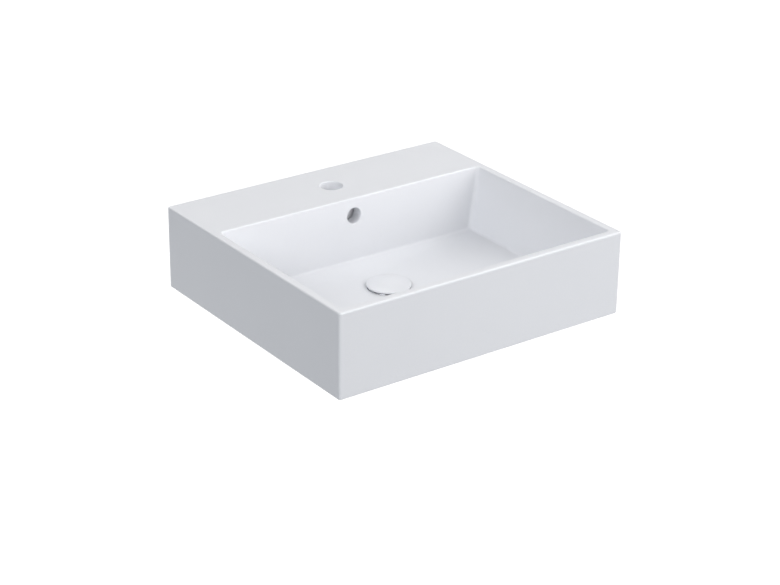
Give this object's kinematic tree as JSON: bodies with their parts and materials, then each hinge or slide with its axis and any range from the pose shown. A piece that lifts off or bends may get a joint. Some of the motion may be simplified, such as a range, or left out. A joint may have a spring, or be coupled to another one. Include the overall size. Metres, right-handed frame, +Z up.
{
  "type": "wall-hung washbasin",
  "caption": "Rectangular white glazed ceramic washbasin with rear tap deck, overflow, and a push-open waste under a round ceramic cap; hangs on studs in a wall.",
  "frame": {"origin": "on the basin's back face, in the middle of its width, at the height of the two fixing holes, 55 mm under the rim's top", "axes": "+X to the user's right, -Y to the front, +Z up; the wall face is the plane y = 0"},
  "size_m": [0.5, 0.523, 0.19],
  "materials": {
    "glazed_ceramic": "gloss",
    "chromed_brass": "polished",
    "brass": "satin",
    "zinc_steel": "satin",
    "black_rubber": "matte",
    "grey_nylon": "satin",
    "white_acetal": "satin"
  },
  "bodies": {
    "basin_body": {"basin": "glazed_ceramic", "waste_body": "chromed_brass", "flange_gasket": "black_rubber", "under_gasket": "black_rubber", "slip_washer": "grey_nylon", "back_nut": "brass", "cartridge_bridge": "white_acetal", "latch_housing": "white_acetal", "guide_bush": "white_acetal", "return_spring": "zinc_steel", "left_stud": "zinc_steel", "left_wall_plug": "grey_nylon", "left_sleeve": "grey_nylon", "left_washer": "zinc_steel", "left_nut": "zinc_steel", "right_stud": "zinc_steel", "right_wall_plug": "grey_nylon", "right_sleeve": "grey_nylon", "right_washer": "zinc_steel", "right_nut": "zinc_steel"},
    "plug": {"waste_cap": "glazed_ceramic", "cap_carrier": "chromed_brass", "plug_seal": "black_rubber", "plunger_stem": "zinc_steel"},
    "rotor": {"latch_rotor": "white_acetal"}
  },
  "joints": [
    {"name": "cap_slide", "type": "slide", "parent": "basin_body", "child": "plug", "axis": [0, 0, 1], "range_m": [-0.0015, 0.0085], "deforming": ["return_spring"]},
    {"name": "rotor_turn", "type": "hinge", "parent": "plug", "child": "rotor", "pos_m": [0, -0.221, -0.093], "axis": [0, 0, 1], "range_deg": [-6.8, 38.3]}
  ],
  "couplings": [
    {"joint": "rotor_turn", "follows": "cap_slide", "rad_per_m": 78.54}
  ]
}
